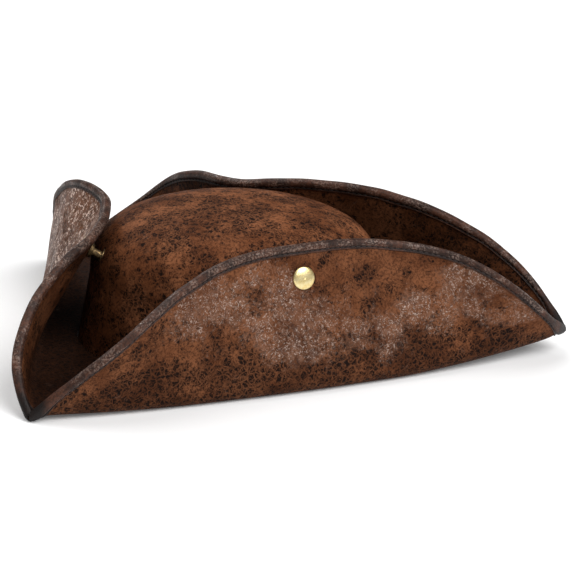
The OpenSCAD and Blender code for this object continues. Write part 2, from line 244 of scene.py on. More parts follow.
def crown_point(level, turn, depth, base=0.0):
    """Point of the crown's surface moved in by depth: level 0 to 1 runs up the wall, and 1 to 2
    over the dome."""
    wall, u = np.minimum(level, 1), math.pi / 2 * np.clip(level - 1, 0, 1)
    rise = CROWN_HEIGHT - depth - CROWN_WALL
    z = base + (CROWN_WALL - base) * wall + rise * np.sin(u) ** (2 / DOME_TOP)
    inset = CROWN_TAPER * np.minimum(z, CROWN_WALL) + depth
    share = np.clip(np.cos(u), 0, 1) ** (2 / DOME_SIDE)
    soft = 0.8 * ripple(turn * CROWN_RADIUS, z, 130, 4.0) * smooth(z, 8, 40)
    x = (CROWN_LENGTH - inset + soft) * share * np.cos(turn)
    y = (CROWN_WIDTH - inset + soft) * share * np.sin(turn)
    return np.stack(np.broadcast_arrays(x, y, z), -1)


# ---- meshes ----
def mesh(name, points, faces, wear=0.5, rubbed=0.0):
    """A mesh object from points in mm. For the materials, its points keep their place at rest
    in mm in the attribute rest; in the second attribute, how far up the sheet they lie, which on
    the binding is its share of painted light instead; and in the third, how scuffed the leather
    is there together with its painted sheen and highlights."""
    points = np.asarray(points, float).reshape(-1, 3)
    data = bpy.data.meshes.new(name)
    data.from_pydata((points * MM).tolist(), [], faces)
    data.validate()
    data.attributes.new("rest", "FLOAT_VECTOR", "POINT").data.foreach_set(
        "vector", points.astype(np.float32).ravel())
    for key, values in (("wear", wear), ("rubbed", rubbed)):
        values = np.broadcast_to(np.asarray(values, np.float32), len(points)).copy()
        data.attributes.new(key, "FLOAT", "POINT").data.foreach_set("value", values)
    data.shade_smooth()
    obj = bpy.data.objects.new(name, data)
    bpy.context.scene.collection.objects.link(obj)
    return obj


def quads(m, n, around=False, start=0, turned=False):
    """Faces of a grid of m rows of n points, joined end to end if it goes around."""
    i, j = np.meshgrid(np.arange(m if around else m - 1), np.arange(n - 1), indexing="ij")
    a, b = i * n + j, (i + 1) % m * n + j
    f = np.stack([a, b, b + 1, a + 1], -1).reshape(-1, 4) + start
    return (f[:, ::-1] if turned else f).tolist()


def rim(first, second, turned=False):
    """Faces between two rows of points, given by their numbers."""
    a, b = np.asarray(first), np.asarray(second)
    f = np.stack([a[:-1], a[1:], b[1:], b[:-1]], -1)
    return (f[:, ::-1] if turned else f).tolist()


def shell(name, top, bottom, around=False, wear=0.5, rubbed=0.0):
    """A closed sheet between two grids of the same size, top on the outer side."""
    m, n = top.shape[:2]
    k = m * n
    faces = quads(m, n, around) + quads(m, n, around, k, True)
    low, high = np.arange(m) * n, np.arange(m) * n + n - 1
    if around:
        low, high = np.append(low, low[0]), np.append(high, high[0])
    faces += rim(low, low + k, True) + rim(high, high + k)
    if not around:
        first, last = np.arange(n), np.arange(n) + (m - 1) * n
        faces += rim(first, first + k) + rim(last, last + k, True)
    wear, rubbed = (np.tile(np.broadcast_to(v, (m, n)).ravel(), 2) for v in (wear, rubbed))
    obj = mesh(name, np.concatenate([top.reshape(-1, 3), bottom.reshape(-1, 3)]), faces, wear,
               rubbed)
    obj.data.set_sharp_from_angle(angle=math.radians(SHEET_CREASE))
    return obj


def bend_with(obj, up):
    """Moves each point for a moment to its distance up the sheet, bakes the object's transform and
    puts the points back where they were.
    """
    place = np.zeros(len(obj.data.vertices) * 3, np.float32)
    obj.data.vertices.foreach_get("co", place)
    up = np.broadcast_to(np.asarray(up, float).ravel(), len(place) // 3) * MM
    laid = np.stack([up * 0, up * 0, up], -1).astype(np.float32)
    obj.data.vertices.foreach_set("co", laid.ravel())
    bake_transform(obj)
    obj.data.vertices.foreach_set("co", place)
    obj.data.update()


def dress(obj, material, node):
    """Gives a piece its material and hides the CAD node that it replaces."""
    obj.data.materials.append(material)
    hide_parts(node)
    return obj


# ---- materials ----
class Graph:
    """A material's node tree, with one method for each kind of node that the materials use."""

    def __init__(self, name):
        self.material = bpy.data.materials.new(name)
        self.material.use_nodes = True
        self.nodes, self.links = self.material.node_tree.nodes, self.material.node_tree.links
        self.shader = self.nodes["Principled BSDF"]

    def feed(self, socket, value):
        """Links a socket to another node's output, or sets it to a number or colour."""
        if isinstance(value, bpy.types.NodeSocket):
            self.links.new(value, socket)
        elif isinstance(value, tuple) and len(value) == 3 and socket.type == "RGBA":
            socket.default_value = (*value, 1)
        else:
            socket.default_value = value

    def add(self, kind, inputs=(), **settings):
        """A new node, with its inputs fed and its settings set."""
        node = self.nodes.new(kind)
        for key, value in settings.items():
            setattr(node, key, value)
        for key, value in dict(inputs).items():
            self.feed(node.inputs[key], value)
        return node

    def set(self, **inputs):
        """Feeds the shader's own sockets, named with _ for each space."""
        for key, value in inputs.items():
            self.feed(self.shader.inputs[key.replace("_", " ")], value)

    def attribute(self, name, output):
        """A vertex attribute of the mesh, from this output of its node."""
        return self.add("ShaderNodeAttribute", attribute_name=name).outputs[output]

    def scaled(self, vector, x, y, z):
        return self.add("ShaderNodeVectorMath", {0: vector, 1: (x, y, z)},
                        operation="MULTIPLY").outputs[0]

    def warped(self, vector, wave, amount):
        """The coordinates pushed about by up to amount mm, in waves of wave mm."""
        push = self.add("ShaderNodeTexNoise", {"Vector": vector, "Scale": 1 / wave, "Detail": 2.0})
        centred = self.add("ShaderNodeVectorMath", {0: push.outputs["Color"], 1: (.5, .5, .5)},
                           operation="SUBTRACT").outputs[0]
        return self.add("ShaderNodeVectorMath", {0: centred, 1: (amount,) * 3, 2: vector},
                        operation="MULTIPLY_ADD").outputs[0]

    def noise(self, vector, size, detail=2.0, rough=0.5, shift=0.0):
        """Noise with features of about size mm."""
        if shift:
            vector = self.add("ShaderNodeVectorMath", {0: vector, 1: (shift,) * 3}).outputs[0]
        return self.add("ShaderNodeTexNoise", {"Vector": vector, "Scale": 1 / size,
                                               "Detail": detail, "Roughness": rough}).outputs[0]

    def cracks(self, vector, size, width):
        """1 on the lines between cells of about size mm, falling to 0 within width mm."""
        edge = self.add("ShaderNodeTexVoronoi", {"Vector": vector, "Scale": 1 / size},
                        feature="DISTANCE_TO_EDGE").outputs["Distance"]
        return self.ramp(edge, width / size, 0.0)

    def lines(self, vector, size, width, shift=0.0):
        """1 on thin wandering lines some size mm apart, falling to 0 beside them."""
        off = self.math("SUBTRACT", self.noise(vector, size, 2.0, 0.55, shift), 0.5)
        return self.ramp(self.math("ABSOLUTE", off), width, 0.0)

    def ramp(self, value, low, high, to_low=0.0, to_high=1.0):
        """to_low where value is under low, to_high where it is over high, smooth between."""
        return self.add("ShaderNodeMapRange", {"Value": value, "From Min": low, "From Max": high,
                                               "To Min": to_low, "To Max": to_high},
                        interpolation_type="SMOOTHSTEP").outputs[0]

    def math(self, operation, a, b=0.0):
        return self.add("ShaderNodeMath", {0: a, 1: b}, operation=operation).outputs[0]

    def mix(self, share, a, b):
        """Colour a where share is 0, b where it is 1."""
        node = self.add("ShaderNodeMix", data_type="RGBA")
        self.feed(node.inputs[0], share)
        self.feed(node.inputs[6], a)
        self.feed(node.inputs[7], b)
        return node.outputs[2]

    def bump(self, height, distance, strength):
        """Normal of a bumpy surface, whose heights from 0 to 1 are distance mm apart."""
        return self.add("ShaderNodeBump", {"Height": height, "Strength": strength,
                                           "Distance": distance * MM}).outputs[0]


# Colours of the leather, and of the strip that binds its edge
BROWN, PALE_BROWN = (0.098, 0.0325, 0.0125), (0.182, 0.068, 0.0295)
DEEP_BROWN = (0.036, 0.012, 0.0052)
# painted shade in the angle of the crease, and the crazing's own near-black
CREASE_SHADE, CRAZING = (0.010, 0.0042, 0.0026), (0.0065, 0.0032, 0.0024)
# a pale veil of scuffing and painted sheen, grey scuff smears, and speckles of painted highlight
SCUFF_SHEEN_VEIL, SMEAR, GLINT_SPECKLE = (0.272, 0.143, 0.093), (0.050, 0.034, 0.031), (0.50, 0.385, 0.325)
STRIP, PALE_STRIP = (0.022, 0.0088, 0.0054), (0.078, 0.029, 0.0155)
# the strip's grain, and the near black of painted shade in its groove
STRIP_GRAIN, STRIP_GROOVE_SHADE = (0.0095, 0.0052, 0.0042), (0.0045, 0.0030, 0.0026)
# painted highlight on the strip's roll, partly rubbing
STRIP_RUB_HIGHLIGHT = (0.29, 0.20, 0.16)


def shade(colour, light):
    """The colour made lighter or darker, and never quite white."""
    return tuple(min(v * light, 0.98) for v in colour)


def leather_material(name, light=1.0, dark_share=0.5, scuffs_and_sheen=0.5, coarse=1.0, crease_shade=0.0):
    """Distressed leatherette: near-black crazed patches with a brown web through them, over
    smoother brown with greyish scuff marks and painted sheen. light scales the browns, which makes
    painted shade below 1 and painted light above 1; dark_share widens the crazing; scuffs widens
    the scuff marks with their painted sheen and highlights; coarse enlarges the speckles of painted
    highlight and brightens them; and grime darkens the leather towards the crease as painted shade."""
    g = Graph(name)
    rest = g.attribute("rest", "Vector")
    wear = g.attribute("wear", "Fac")
    rubbed = g.attribute("rubbed", "Fac")
    loose = g.warped(rest, 13.0, 8.0)
    fine = g.warped(g.warped(rest, 6.0, 4.5), 2.2, 0.9)

    # Browns, with fine dark mottling, and painted shade in the angle of the crease
    cloud = g.ramp(g.noise(rest, 30, 4.0, 0.6), 0.36, 0.64)
    base = g.mix(cloud, shade(BROWN, light), shade(PALE_BROWN, light))
    mottle = g.noise(fine, 1.6, 3.0, 0.7, 3.0)
    base = g.mix(g.ramp(mottle, 0.40, 0.66, 0.0, 0.78), base, shade(DEEP_BROWN, light))
    base = g.mix(g.ramp(wear, 0.0, 0.4, crease_shade, 0.0), base, CREASE_SHADE)

    # Crazing: dark islands that thicken into patches, with a web of brown lines through them,
    # less of it up the flap and where the leather is scuffed and painted with sheen
    spread = g.noise(loose, 19, 6.0, 0.74, 11.0)
    spread = g.math("SUBTRACT", spread, g.ramp(wear, 0.24, 0.62, 0.0, 0.14))
    start = 0.40 - 0.10 * dark_share
    patch = g.ramp(spread, start, start + 0.19)
    island = g.math("ADD", g.noise(fine, 3.8, 5.0, 0.66, 61.0), g.math("MULTIPLY", patch, 0.28))
    dark = g.ramp(island, 0.57, 0.68)
    web = g.math("MAXIMUM", g.lines(fine, 5.2, 0.050, 71.0),
                 g.math("MULTIPLY", g.lines(fine, 2.6, 0.050, 73.0), 0.7))
    web = g.math("MAXIMUM", web, g.cracks(fine, 4.6, 0.60))
    dark = g.math("MULTIPLY", dark, g.math("SUBTRACT", 1.0, g.math("MULTIPLY", web, 0.85)))
    # zone: where the leather is scuffed and gets painted sheen and highlights, with less crazing
    zone = g.math("ADD", g.noise(loose, 20, 6.0, 0.7, 23.0), g.math("MULTIPLY", rubbed, 0.22))
    zone = g.ramp(zone, 0.60 - 0.10 * scuffs_and_sheen, 0.88 - 0.10 * scuffs_and_sheen)
    dark = g.math("MULTIPLY", dark, g.ramp(zone, 0.0, 1.0, 1.0, 0.45))
    stain = g.math("MULTIPLY", patch, g.ramp(zone, 0.0, 0.6, 0.36, 0.12))
    colour = g.mix(g.math("MAXIMUM", g.math("MULTIPLY", dark, 0.98), stain), base, CRAZING)

    # Scuffed zones: a pale veil of scuffing and painted sheen, grey scuff smears, and bright
    # speckles of painted highlight
    veil = g.ramp(g.noise(g.warped(rest, 5.0, 5.0), 6, 5.0, 0.75, 29.0), 0.40, 0.62, 0.06, 0.46)
    colour = g.mix(g.math("MULTIPLY", zone, veil), colour, SCUFF_SHEEN_VEIL)
    smear = g.ramp(g.noise(g.warped(rest, 9.0, 9.0), 8, 4.0, 0.65, 31.0), 0.50, 0.66)
    colour = g.mix(g.math("MULTIPLY", g.math("MULTIPLY", zone, smear), 0.45), colour, SMEAR)
    # speckles of painted highlight, larger and brighter with coarse
    chain = g.math("MULTIPLY", g.lines(fine, 3.0 * coarse, 0.060, 41.0),
                   g.ramp(g.noise(fine, 1.3 * coarse, 2.0, 0.6, 43.0), 0.48, 0.58))
    least = 0.605 - 0.03 * scuffs_and_sheen
    dots = g.ramp(g.noise(fine, 1.4 * coarse, 3.0, 0.75, 45.0), least, least + 0.07)
    speck = g.math("MAXIMUM", chain, dots)
    where = g.ramp(g.math("ADD", g.noise(loose, 9, 4.0, 0.65, 47.0),
                          g.math("MULTIPLY", rubbed, 0.10)), 0.39, 0.60)
    glint_specks = g.math("MULTIPLY", g.math("MULTIPLY", zone, speck), where)
    colour = g.mix(g.math("MULTIPLY", glint_specks, 0.80), colour, shade(GLINT_SPECKLE, coarse))

    height = g.math("SUBTRACT", g.math("MULTIPLY", mottle, -0.35), g.math("MULTIPLY", dark, 0.4))
    height = g.math("ADD", height, g.math("MULTIPLY", glint_specks, 0.5))
    g.set(Base_Color=colour, Normal=g.bump(height, 0.40, 0.9),
          Roughness=g.ramp(zone, 0.0, 1.0, 0.66, 0.40), Specular_IOR_Level=0.05)
    return g.material


def binding_material():
    """Darker, smoother leatherette of the edge binding, with greyish streaks of painted highlight
    and rubbing on its roll, and near black painted shade in its stitched groove and at its fold."""
    g = Graph("binding_leather")
    rest = g.attribute("rest", "Vector")
    # roll: the strip's share of painted light, 1 on the top of the roll and 0 in the groove, at the
    # fold and at the tips
    roll = g.attribute("wear", "Fac")
    fine = g.warped(rest, 2.0, 1.6)
    grain = g.noise(fine, 1.5, 3.0, 0.65)
    colour = g.mix(g.ramp(g.noise(rest, 14, 4.0, 0.6), 0.36, 0.64), STRIP, PALE_STRIP)
    colour = g.mix(g.ramp(grain, 0.42, 0.66, 0.0, 0.75), colour, STRIP_GRAIN)
    # streaks of painted highlight along the top of the roll, partly rubbing of the strip
    rubbed = g.math("MULTIPLY", g.ramp(g.noise(rest, 11, 3.0, 0.6, 7.0), 0.40, 0.58),
                    g.ramp(g.noise(fine, 1.3, 3.0, 0.65, 17.0), 0.47, 0.60))
    rubbed = g.math("MULTIPLY", rubbed, g.ramp(roll, 0.4, 1.0))
    colour = g.mix(g.math("MULTIPLY", rubbed, 0.55), colour, STRIP_RUB_HIGHLIGHT)
    # painted shade, near black, in the stitched groove and along the folded lower edge
    colour = g.mix(g.ramp(roll, 0.0, 0.28, 0.92, 0.0), colour, STRIP_GROOVE_SHADE)
    g.set(Base_Color=colour, Normal=g.bump(grain, 0.4, 0.9),
          Roughness=g.ramp(rubbed, 0.0, 1.0, 0.54, 0.22), Specular_IOR_Level=0.22)
    return g.material


def brass_material():
    """Pale lacquered brass, faintly worn."""
    g = Graph("brass")
    rest = g.attribute("rest", "Vector")
    cloud = g.noise(rest, 3.0, 3.0, 0.6)
    scratch = g.noise(g.scaled(rest, 1.0, 0.25, 2.0), 0.6, 2.0, 0.6, 9.0)
    dull, bright = (0.80, 0.62, 0.27), (0.90, 0.76, 0.42)
    colour = g.mix(g.ramp(cloud, 0.35, 0.7), dull, bright)
    g.set(Base_Color=colour, Metallic=0.9, Normal=g.bump(scratch, 0.04, 0.5),
          Roughness=g.ramp(scratch, 0.3, 0.7, 0.27, 0.40))
    return g.material


def shaded_brass_material():
    """Brass of the studs, sockets and washers, browned as painted shade for the dark gap between the
    flaps and the crown.
    """
    g = Graph("shaded_brass")
    rest = g.attribute("rest", "Vector")
    bare = g.ramp(g.noise(rest, 1.6, 3.0, 0.65), 0.35, 0.65)
    # brown and dull brass, darkened as painted shade
    shaded_brown, dull = (0.050, 0.030, 0.014), (0.20, 0.13, 0.055)
    g.set(Base_Color=g.mix(bare, shaded_brown, dull), Metallic=0.8,
          Roughness=g.ramp(bare, 0.0, 1.0, 0.6, 0.4))
    return g.material


def thread_material():
    """Dark waxed thread, twisted."""
    g = Graph("thread")
    rest = g.attribute("rest", "Vector")
    twist = g.add("ShaderNodeTexWave", {"Vector": rest, "Scale": 1.4, "Distortion": 1.0},
                  bands_direction="DIAGONAL").outputs["Fac"]
    hollow, strand = (0.010, 0.006, 0.005), (0.034, 0.021, 0.017)
    g.set(Base_Color=g.mix(twist, hollow, strand),
          Normal=g.bump(twist, 0.12, 0.7), Roughness=0.55)
    return g.material


def cloth_material(name, dark, pale, weave, rough=0.9, felted=False):
    """Cloth whose threads are weave mm apart, or felt with tufts of that size."""
    g = Graph(name)
    rest = g.attribute("rest", "Vector")
    cloud = g.ramp(g.noise(rest, 24, 3.0), 0.3, 0.7, 0.2, 0.8)
    if felted:
        texture = g.noise(g.warped(rest, 3.0, 4.0), weave, 4.0, 0.75)
    else:
        warp = g.add("ShaderNodeTexWave", {"Vector": rest, "Scale": 1 / weave},
                     bands_direction="X").outputs["Fac"]
        weft = g.add("ShaderNodeTexWave", {"Vector": rest, "Scale": 1 / weave},
                     bands_direction="Z").outputs["Fac"]
        texture = g.math("MULTIPLY", warp, weft)
    colour = g.mix(g.math("MULTIPLY", cloud, texture), dark, pale)
    g.set(Base_Color=colour, Normal=g.bump(texture, 0.15, 0.5), Roughness=rough,
          Sheen_Weight=0.25)
    return g.material


# ---- pieces ----
def rows_up(flap, s, n_bend=12, n_up=30):
    """Distances up the sheet for each station s: fine through the bend, then to the edge."""
    bend, sheet = flap.bend(s)[2][:, None], flap.sheet(s)[:, None] - GLUE
    low = bend * np.linspace(0, 1, n_bend)[None, :]
    high = bend + (sheet - bend) * np.linspace(0, 1, n_up + 1)[None, 1:]
    return np.concatenate([low, high], 1)


def flap_layer(flap, part, low, high, material, stations):
    """One layer of a flap, between two distances from mid thickness, cut into this many
    stations. Only the outer cover gets the patches of scuffing and painted sheen."""
    s = flap.stations(stations)
    d = rows_up(flap, s)
    share = d / flap.sheet(s)[:, None]
    top, bottom = flap.at(s[:, None], d, high), flap.at(s[:, None], d, low)
    # how scuffed the outer cover is, and how much painted sheen and highlight it gets, from the
    # flap's patches
    rubbed = np.zeros_like(share)
    for along, up, half_long, half_high in flap.scuffs_and_sheen if part == "outer_cover" else ():
        near = 1 - np.hypot((s[:, None] - along) / half_long, (share - up) / half_high)
        rubbed = np.maximum(rubbed, smooth(near, 0, 0.6))
    obj = shell(f"{flap.body}_{part}", top, bottom, wear=share, rubbed=rubbed)
    dress(obj, material, f"{flap.name}_flap_{part}")
    bend_with(obj, np.concatenate([d.ravel(), d.ravel()]))
    area = float(np.trapz(flap.sheet(s), s) * flap.length)
    float(flap.sheet(s).max()) * MM
    return obj


# The binding's section, on one face: (distance in from the edge, height above the cover).
# It rises from its folded lower edge, dips at the stitching and swells to a roll at the top.
BINDING_FACE = [(BINDING_WIDTH, 0.05), (5.7, 0.36), (5.5, 0.62), (5.15, 0.70), (4.85, 0.60),
                (4.6, 0.34), (4.25, 0.14), (3.85, 0.30), (3.5, 0.70), (2.9, 1.06), (2.2, 1.24),
                (1.5, 1.28), (0.8, 1.18), (0.2, 0.95)]
BINDING_TURN = 7                        # steps of the roll over the edge
ROLL_BEYOND = 1.5                       # how far the roll stands out past the last point above
TIP_SPREAD = 1.1                        # how much wider the binding is at the tips
PUCKER, STITCH_REACH = 0.16, 1.4        # the pull of each stitch on the strip, and how far it goes
LIT_HEIGHTS, LIT_SHARE = [0.3, 0.62, 1.1], [0.0, 0.45, 1.0]   # height above the cover, and the strip's share of painted light there: painted shade at 0, painted highlights towards 1


def binding_section():
    """The strip's section, once round its outside and back along its inside: (distance in from
    the edge, distance from mid thickness, height above the cover, which is 0 all along the
    inside)."""
    face = [(inset, HALF + height, height) for inset, height in BINDING_FACE]
    last_inset, last_off = face[-1][:2]
    over = [(last_inset - ROLL_BEYOND * math.sin(a), last_off * math.cos(a), 1.0)
            for a in np.linspace(0, math.pi, BINDING_TURN + 2)[1:-1]]
    back = [(inset, -off, height) for inset, off, height in reversed(face)]
    under, middle = HALF + BINDING_GAP * 0.3, BINDING_WIDTH / 2
    inside = [(BINDING_WIDTH, -under, 0), (middle, -under, 0), (0.0, -under, 0), (-0.3, 0, 0),
              (0.0, under, 0), (middle, under, 0), (BINDING_WIDTH, under, 0)]
    return face + over + back + inside


def binding(flap, material):
    """The strip folded over the free edge and sewn through, from tip to tip."""
    s = flap.stations(460, beyond=0.4)
    run = s * flap.length
    to_tip = np.minimum(run, flap.length - run)
    spread = 1 + TIP_SPREAD * (1 - smooth(to_tip, 3, 20))
    pull = np.abs(np.sin(math.pi * run / STITCH_PITCH)) - 0.64      # about 0 on average
    sheet = flap.sheet(s)
    rows, lit_share, ups = [], [], []
    for k, (inset, off, lift) in enumerate(binding_section()):
        # slight puckers between the stitches, and a slow unevenness along the roll
        swell = 1 + 0.10 * ripple(run, k * 1.5, 17, flap.seed) + 0.05 * ripple(run, k, 6, 2.0)
        near = math.exp(-((inset - STITCH_INSET) / STITCH_REACH) ** 2)
        side = math.copysign(1, off) if off else 0
        height = (abs(off) - HALF) * swell + PUCKER * near * pull * (lift > 0)
        place = side * (HALF + height) if abs(off) > HALF else off * (1 + 0.04 * (swell - 1))
        wander = 0.2 * ripple(run, 0, 43, flap.seed + k * 0.01) if inset > 4.8 else 0.0
        d = np.maximum(sheet - inset * spread - wander, -0.4 * np.clip(to_tip, 0, None) - 0.1)
        rows.append(flap.at(s, d, place))
        ups.append(d)
        # share of painted light by height above the cover, falling to 0 at the tips, where the strip
        # takes the dark groove colour
        lit_share.append(np.interp(lift, LIT_HEIGHTS, LIT_SHARE) * smooth(to_tip, 3, 24))
    grid = np.stack(rows, 1)
    m, n = grid.shape[:2]
    # a grid with one more column, whose points are those of the first, and a cap on either end
    number = np.arange(m)[:, None] * n + np.append(np.arange(n), 0)
    faces = number.ravel()[np.array(quads(m, n + 1))].tolist()
    faces += [number[0, :-1].tolist(), number[-1, :-1].tolist()[::-1]]
    obj = mesh(f"{flap.body}_binding", grid.reshape(-1, 3), faces, np.stack(lit_share, 1).ravel())
    dress(obj, material, f"{flap.name}_flap_binding")
    bend_with(obj, np.stack(ups, 1).ravel())
    edge = float(np.linalg.norm(np.diff(flap.at(s, sheet, 0), axis=0), axis=1).sum())
    return obj


# A stitch's outline: (how far along it, share of its full radius)
STITCH_SHAPE = [(0.0, 0.25), (0.16, 0.85), (0.5, 1.0), (0.84, 0.85), (1.0, 0.25)]
STITCH_SIDES = 8
STITCH_FLATNESS, STITCH_DIP = 0.8, 0.35     # both as shares of its radius: its ends dip into holes


def stitch_rows(name, start, end, up):
    """Capsule-shaped stitches, each from start to end with its outward side along up."""
    ring = STITCH_SIDES
    points, faces = [], []
    for a, b, outward in zip(start, end, up):
        along = (b - a) / np.linalg.norm(b - a)
        side = np.cross(outward, along)
        base = len(points)
        for t, swell in STITCH_SHAPE:
            dip = -STITCH_DIP * (2 * t - 1) ** 4
            for k in range(ring):
                turn = 2 * math.pi * k / ring
                lift = math.sin(turn) * swell * STITCH_FLATNESS + dip
                points.append(a + (b - a) * t + STITCH_RADIUS * (
                    side * math.cos(turn) * swell + outward * lift))
        for i in range(len(STITCH_SHAPE) - 1):
            for k in range(ring):
                p, q = base + i * ring + k, base + i * ring + (k + 1) % ring
                faces.append([p, q, q + ring, p + ring])
        faces.append([base + k for k in range(ring)][::-1])
        faces.append([base + (len(STITCH_SHAPE) - 1) * ring + k for k in range(ring)])
    return mesh(name, points, faces)


def flap_stitches(flap, material):
    """Stitching through the binding, seen on both faces."""
    fine = np.linspace(0.03, 0.97, 2000)
    path = flap.at(fine, flap.sheet(fine) - STITCH_INSET, 0)
    run = np.concatenate([[0], np.cumsum(np.linalg.norm(np.diff(path, axis=0), axis=1))])
    count = int(run[-1] // STITCH_PITCH)
    at = np.interp(np.arange(count) * STITCH_PITCH, run, fine)
    to = np.interp(np.arange(count) * STITCH_PITCH + STITCH_LENGTH, run, fine)
    starts, ends, ups, heights = [], [], [], []
    for side in (1, -1):
        off = side * (HALF + STITCH_RADIUS)
        for s, e in zip(at, to):
            d, f = flap.sheet(np.array([s, e])) - STITCH_INSET
            starts.append(flap.at(s, d, off))
            ends.append(flap.at(e, f, off))
            outer = flap.at((s + e) / 2, (d + f) / 2, off + side)
            up = outer - flap.at((s + e) / 2, (d + f) / 2, off)
            ups.append(up / np.linalg.norm(up))
            heights.append(d)
    obj = stitch_rows(f"{flap.body}_stitches", starts, ends, ups)
    points_each = len(obj.data.vertices) // len(starts)
    dress(obj, material, f"{flap.name}_flap_thread")
    bend_with(obj, np.repeat(heights, points_each))
    return obj


def lathe(name, flap, profile, material, node, body, steps=64):
    """A turned piece on the axis of a flap's press stud: profile is (radius, distance outward
    from the flap's mid thickness), from one end of the axis to the other, or a closed loop."""
    seat, axis = flap.seat()
    side = np.cross(axis, [0, 0, 1.0])
    side /= np.linalg.norm(side)
    other = np.cross(axis, side)
    profile = np.array(profile, float)
    turn = np.linspace(0, 2 * math.pi, steps, endpoint=False)
    points = (seat + profile[None, :, 1, None] * axis + profile[None, :, 0, None]
              * (np.cos(turn)[:, None, None] * side + np.sin(turn)[:, None, None] * other))
    obj = mesh(name, points, quads(steps, len(profile), around=True))
    clean(obj)
    dress(obj, material, node)
    obj.data.set_sharp_from_angle(angle=math.radians(TURNED_CREASE))
    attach(obj, body)
    return obj


def clean(obj):
    """Joins the points that lie on the axis, and turns every face outward."""
    work = bmesh.new()
    work.from_mesh(obj.data)
    bmesh.ops.remove_doubles(work, verts=work.verts, dist=1e-6)
    bmesh.ops.recalc_face_normals(work, faces=work.faces)
    work.to_mesh(obj.data)
    work.free()


def snap_cap(flap, material):
    """Domed brass cap, with a rolled rim and the small dimple that its punch left."""
    crest = DISC_FACE + CAP_HEIGHT
    rim_height = 0.45
    arc = [(CAP_RADIUS * math.cos(a),
            DISC_FACE + rim_height + (CAP_HEIGHT - rim_height) * math.sin(a))
           for a in np.radians(np.linspace(0, 84, 22))]
    dimple = [(0.62, crest - 0.01), (0.42, crest - 0.08), (0.2, crest - 0.17), (0, crest - 0.2)]
    profile = [(0, -DISC_FACE), (SHANK, -DISC_FACE), (SHANK, DISC_FACE - 0.2),
               (CAP_RADIUS - 0.7, DISC_FACE - 0.25), (CAP_RADIUS - 0.25, DISC_FACE - 0.2),
               (CAP_RADIUS, DISC_FACE + 0.1)] + arc + dimple
    lathe(f"{flap.name}_brass_cap", flap, profile, material, f"{flap.name}_snap_cap",
          flap.body)


def snap_socket(flap, material):
    """Socket on the inside of the flap, with a rolled lip round its bore."""
    bore, deep = HEAD_RADIUS + SNAP_CLEARANCE, DISC_FACE + PLATE + SOCKET_DEPTH
    floor = deep - SOCKET_DEPTH
    profile = [(0, -DISC_FACE), (SOCKET_RADIUS, -DISC_FACE), (SOCKET_RADIUS, -DISC_FACE - 0.35),
               (SOCKET_RADIUS - 0.6, -DISC_FACE - 0.6), (SOCKET_RADIUS - 0.8, -deep + 0.5),
               (SOCKET_RADIUS - 1.0, -deep + 0.15), (bore + 0.5, -deep), (bore + 0.1, -deep + 0.2),
               (bore, -deep + 0.5), (bore, -floor), (0, -floor)]
    lathe(f"{flap.name}_socket", flap, profile, material, f"{flap.name}_snap_socket",
          flap.body)


def crown_distance(flap):
    """Distance from the flap's mid thickness to the crown along the stud's axis."""
    seat, axis = flap.seat()
    for far in np.arange(0, 30, 0.02):
        x, y, z = seat - axis * far
        inset = CROWN_TAPER * min(z, CROWN_WALL)
        over = max(z - CROWN_WALL, 0) / (CROWN_HEIGHT - CROWN_WALL)
        share = max(1 - over ** DOME_TOP, 0) ** (1 / DOME_SIDE) if over < 1 else 0
        if math.hypot(x / (CROWN_LENGTH - inset), y / (CROWN_WIDTH - inset)) < share:
            return float(far)
    raise ValueError(f"the stud of the {flap.name} flap misses the crown")


def stud(flap, material):
    """Stud on the crown, whose head springs into the socket, and the washer behind it."""
    foot, tip = crown_distance(flap), DISC_FACE + PLATE + 0.4
    end = foot + STIFFENER_BACK + WASHER_GAP + PLATE / 2
    head, flange = HEAD_RADIUS, FLANGE_RADIUS
    profile = [(0, -end), (SHANK, -end), (SHANK, -foot - 0.2), (flange, -foot - 0.2),
               (flange, -foot + 0.3), (flange - 0.2, -foot + 0.5), (head - 0.5, -foot + 0.5),
               (head - 0.5, -tip - 1.2), (head - 0.1, -tip - 1.0), (head, -tip - 0.7),
               (head - 0.1, -tip - 0.4), (head - 0.5, -tip), (0, -tip)]
    lathe(f"{flap.name}_stud_piece", flap, profile, material, f"{flap.name}_stud", "hat")
    back, r = foot + STIFFENER_BACK + WASHER_GAP, WASHER_RADIUS
    profile = [(SHANK, -back - 0.5), (r - 0.3, -back - 0.5), (r, -back - 0.3), (r, -back),
               (SHANK, -back), (SHANK, -back - 0.5)]
    lathe(f"{flap.name}_washer_piece", flap, profile, material, f"{flap.name}_stud_washer",
          "hat")


def dome(name, outer, inner, material, node, base=0.0, around=160, crease=0.0):
    """Closed domed sheet between two depths below the crown's surface. crease is how deeply it
    is gathered, in hundredths of its radius."""
    levels = np.concatenate([np.linspace(0, 1, 14), 1 + np.sin(np.linspace(0.04, 1.545, 34))])
    turn = np.linspace(0, 2 * math.pi, around, endpoint=False)
    grids = []
    for depth in (outer, inner):
        grid = crown_point(levels[None, :], turn[:, None], depth, base)
        gather = crease * ripple(turn[:, None] * CROWN_RADIUS, grid[..., 2] * 0.2, 9, 1.0)
        grid[..., :2] *= 1 - gather[..., None] / 100
        grids.append(grid)
    obj = shell(name, grids[0], grids[1], around=True)
    close_top(obj, *grids[0].shape[:2])
    dress(obj, material, node)
    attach(obj, "hat")
    return obj


